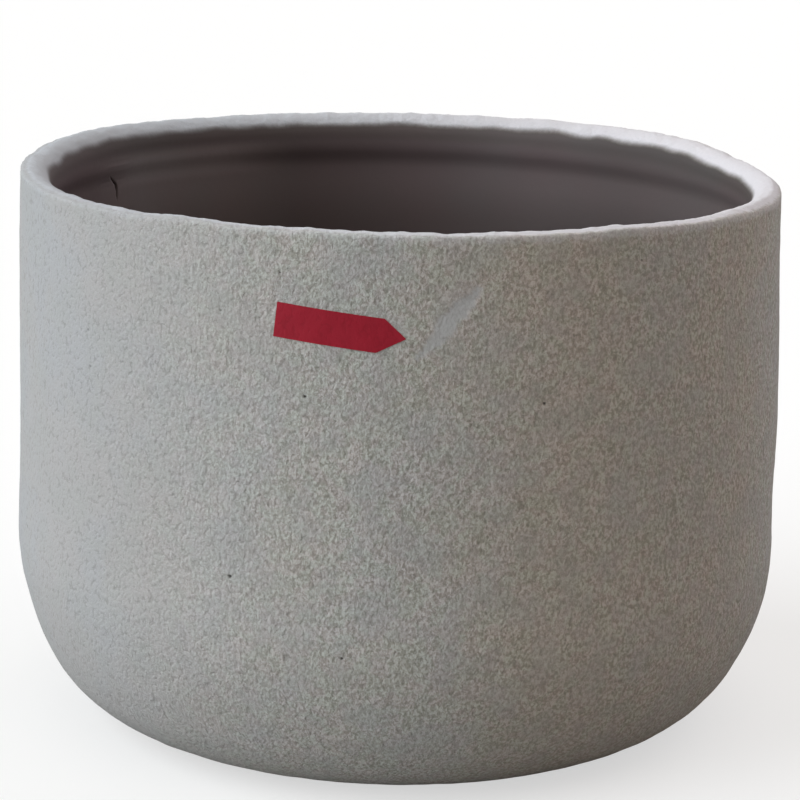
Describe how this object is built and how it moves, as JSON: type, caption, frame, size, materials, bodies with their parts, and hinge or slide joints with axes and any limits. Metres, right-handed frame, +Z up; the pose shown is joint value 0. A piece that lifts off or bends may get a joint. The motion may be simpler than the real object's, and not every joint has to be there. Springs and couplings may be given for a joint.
{
  "type": "cracked flower pot",
  "caption": "Round one-piece flower pot with straight sides, a rounded bottom and a lip inside its rim, cracked inside, with a film arrow on its wall.",
  "frame": {"origin": "middle of the flat face that the pot stands on", "axes": "+Z up along the pot's axis, the side with the arrow towards -Y"},
  "size_m": [0.2959, 0.296, 0.212],
  "materials": {
    "cast_stone": "matte",
    "red_film": "satin"
  },
  "bodies": {
    "root": {"pot": "cast_stone", "arrow_marker": "red_film"}
  },
  "joints": []
}
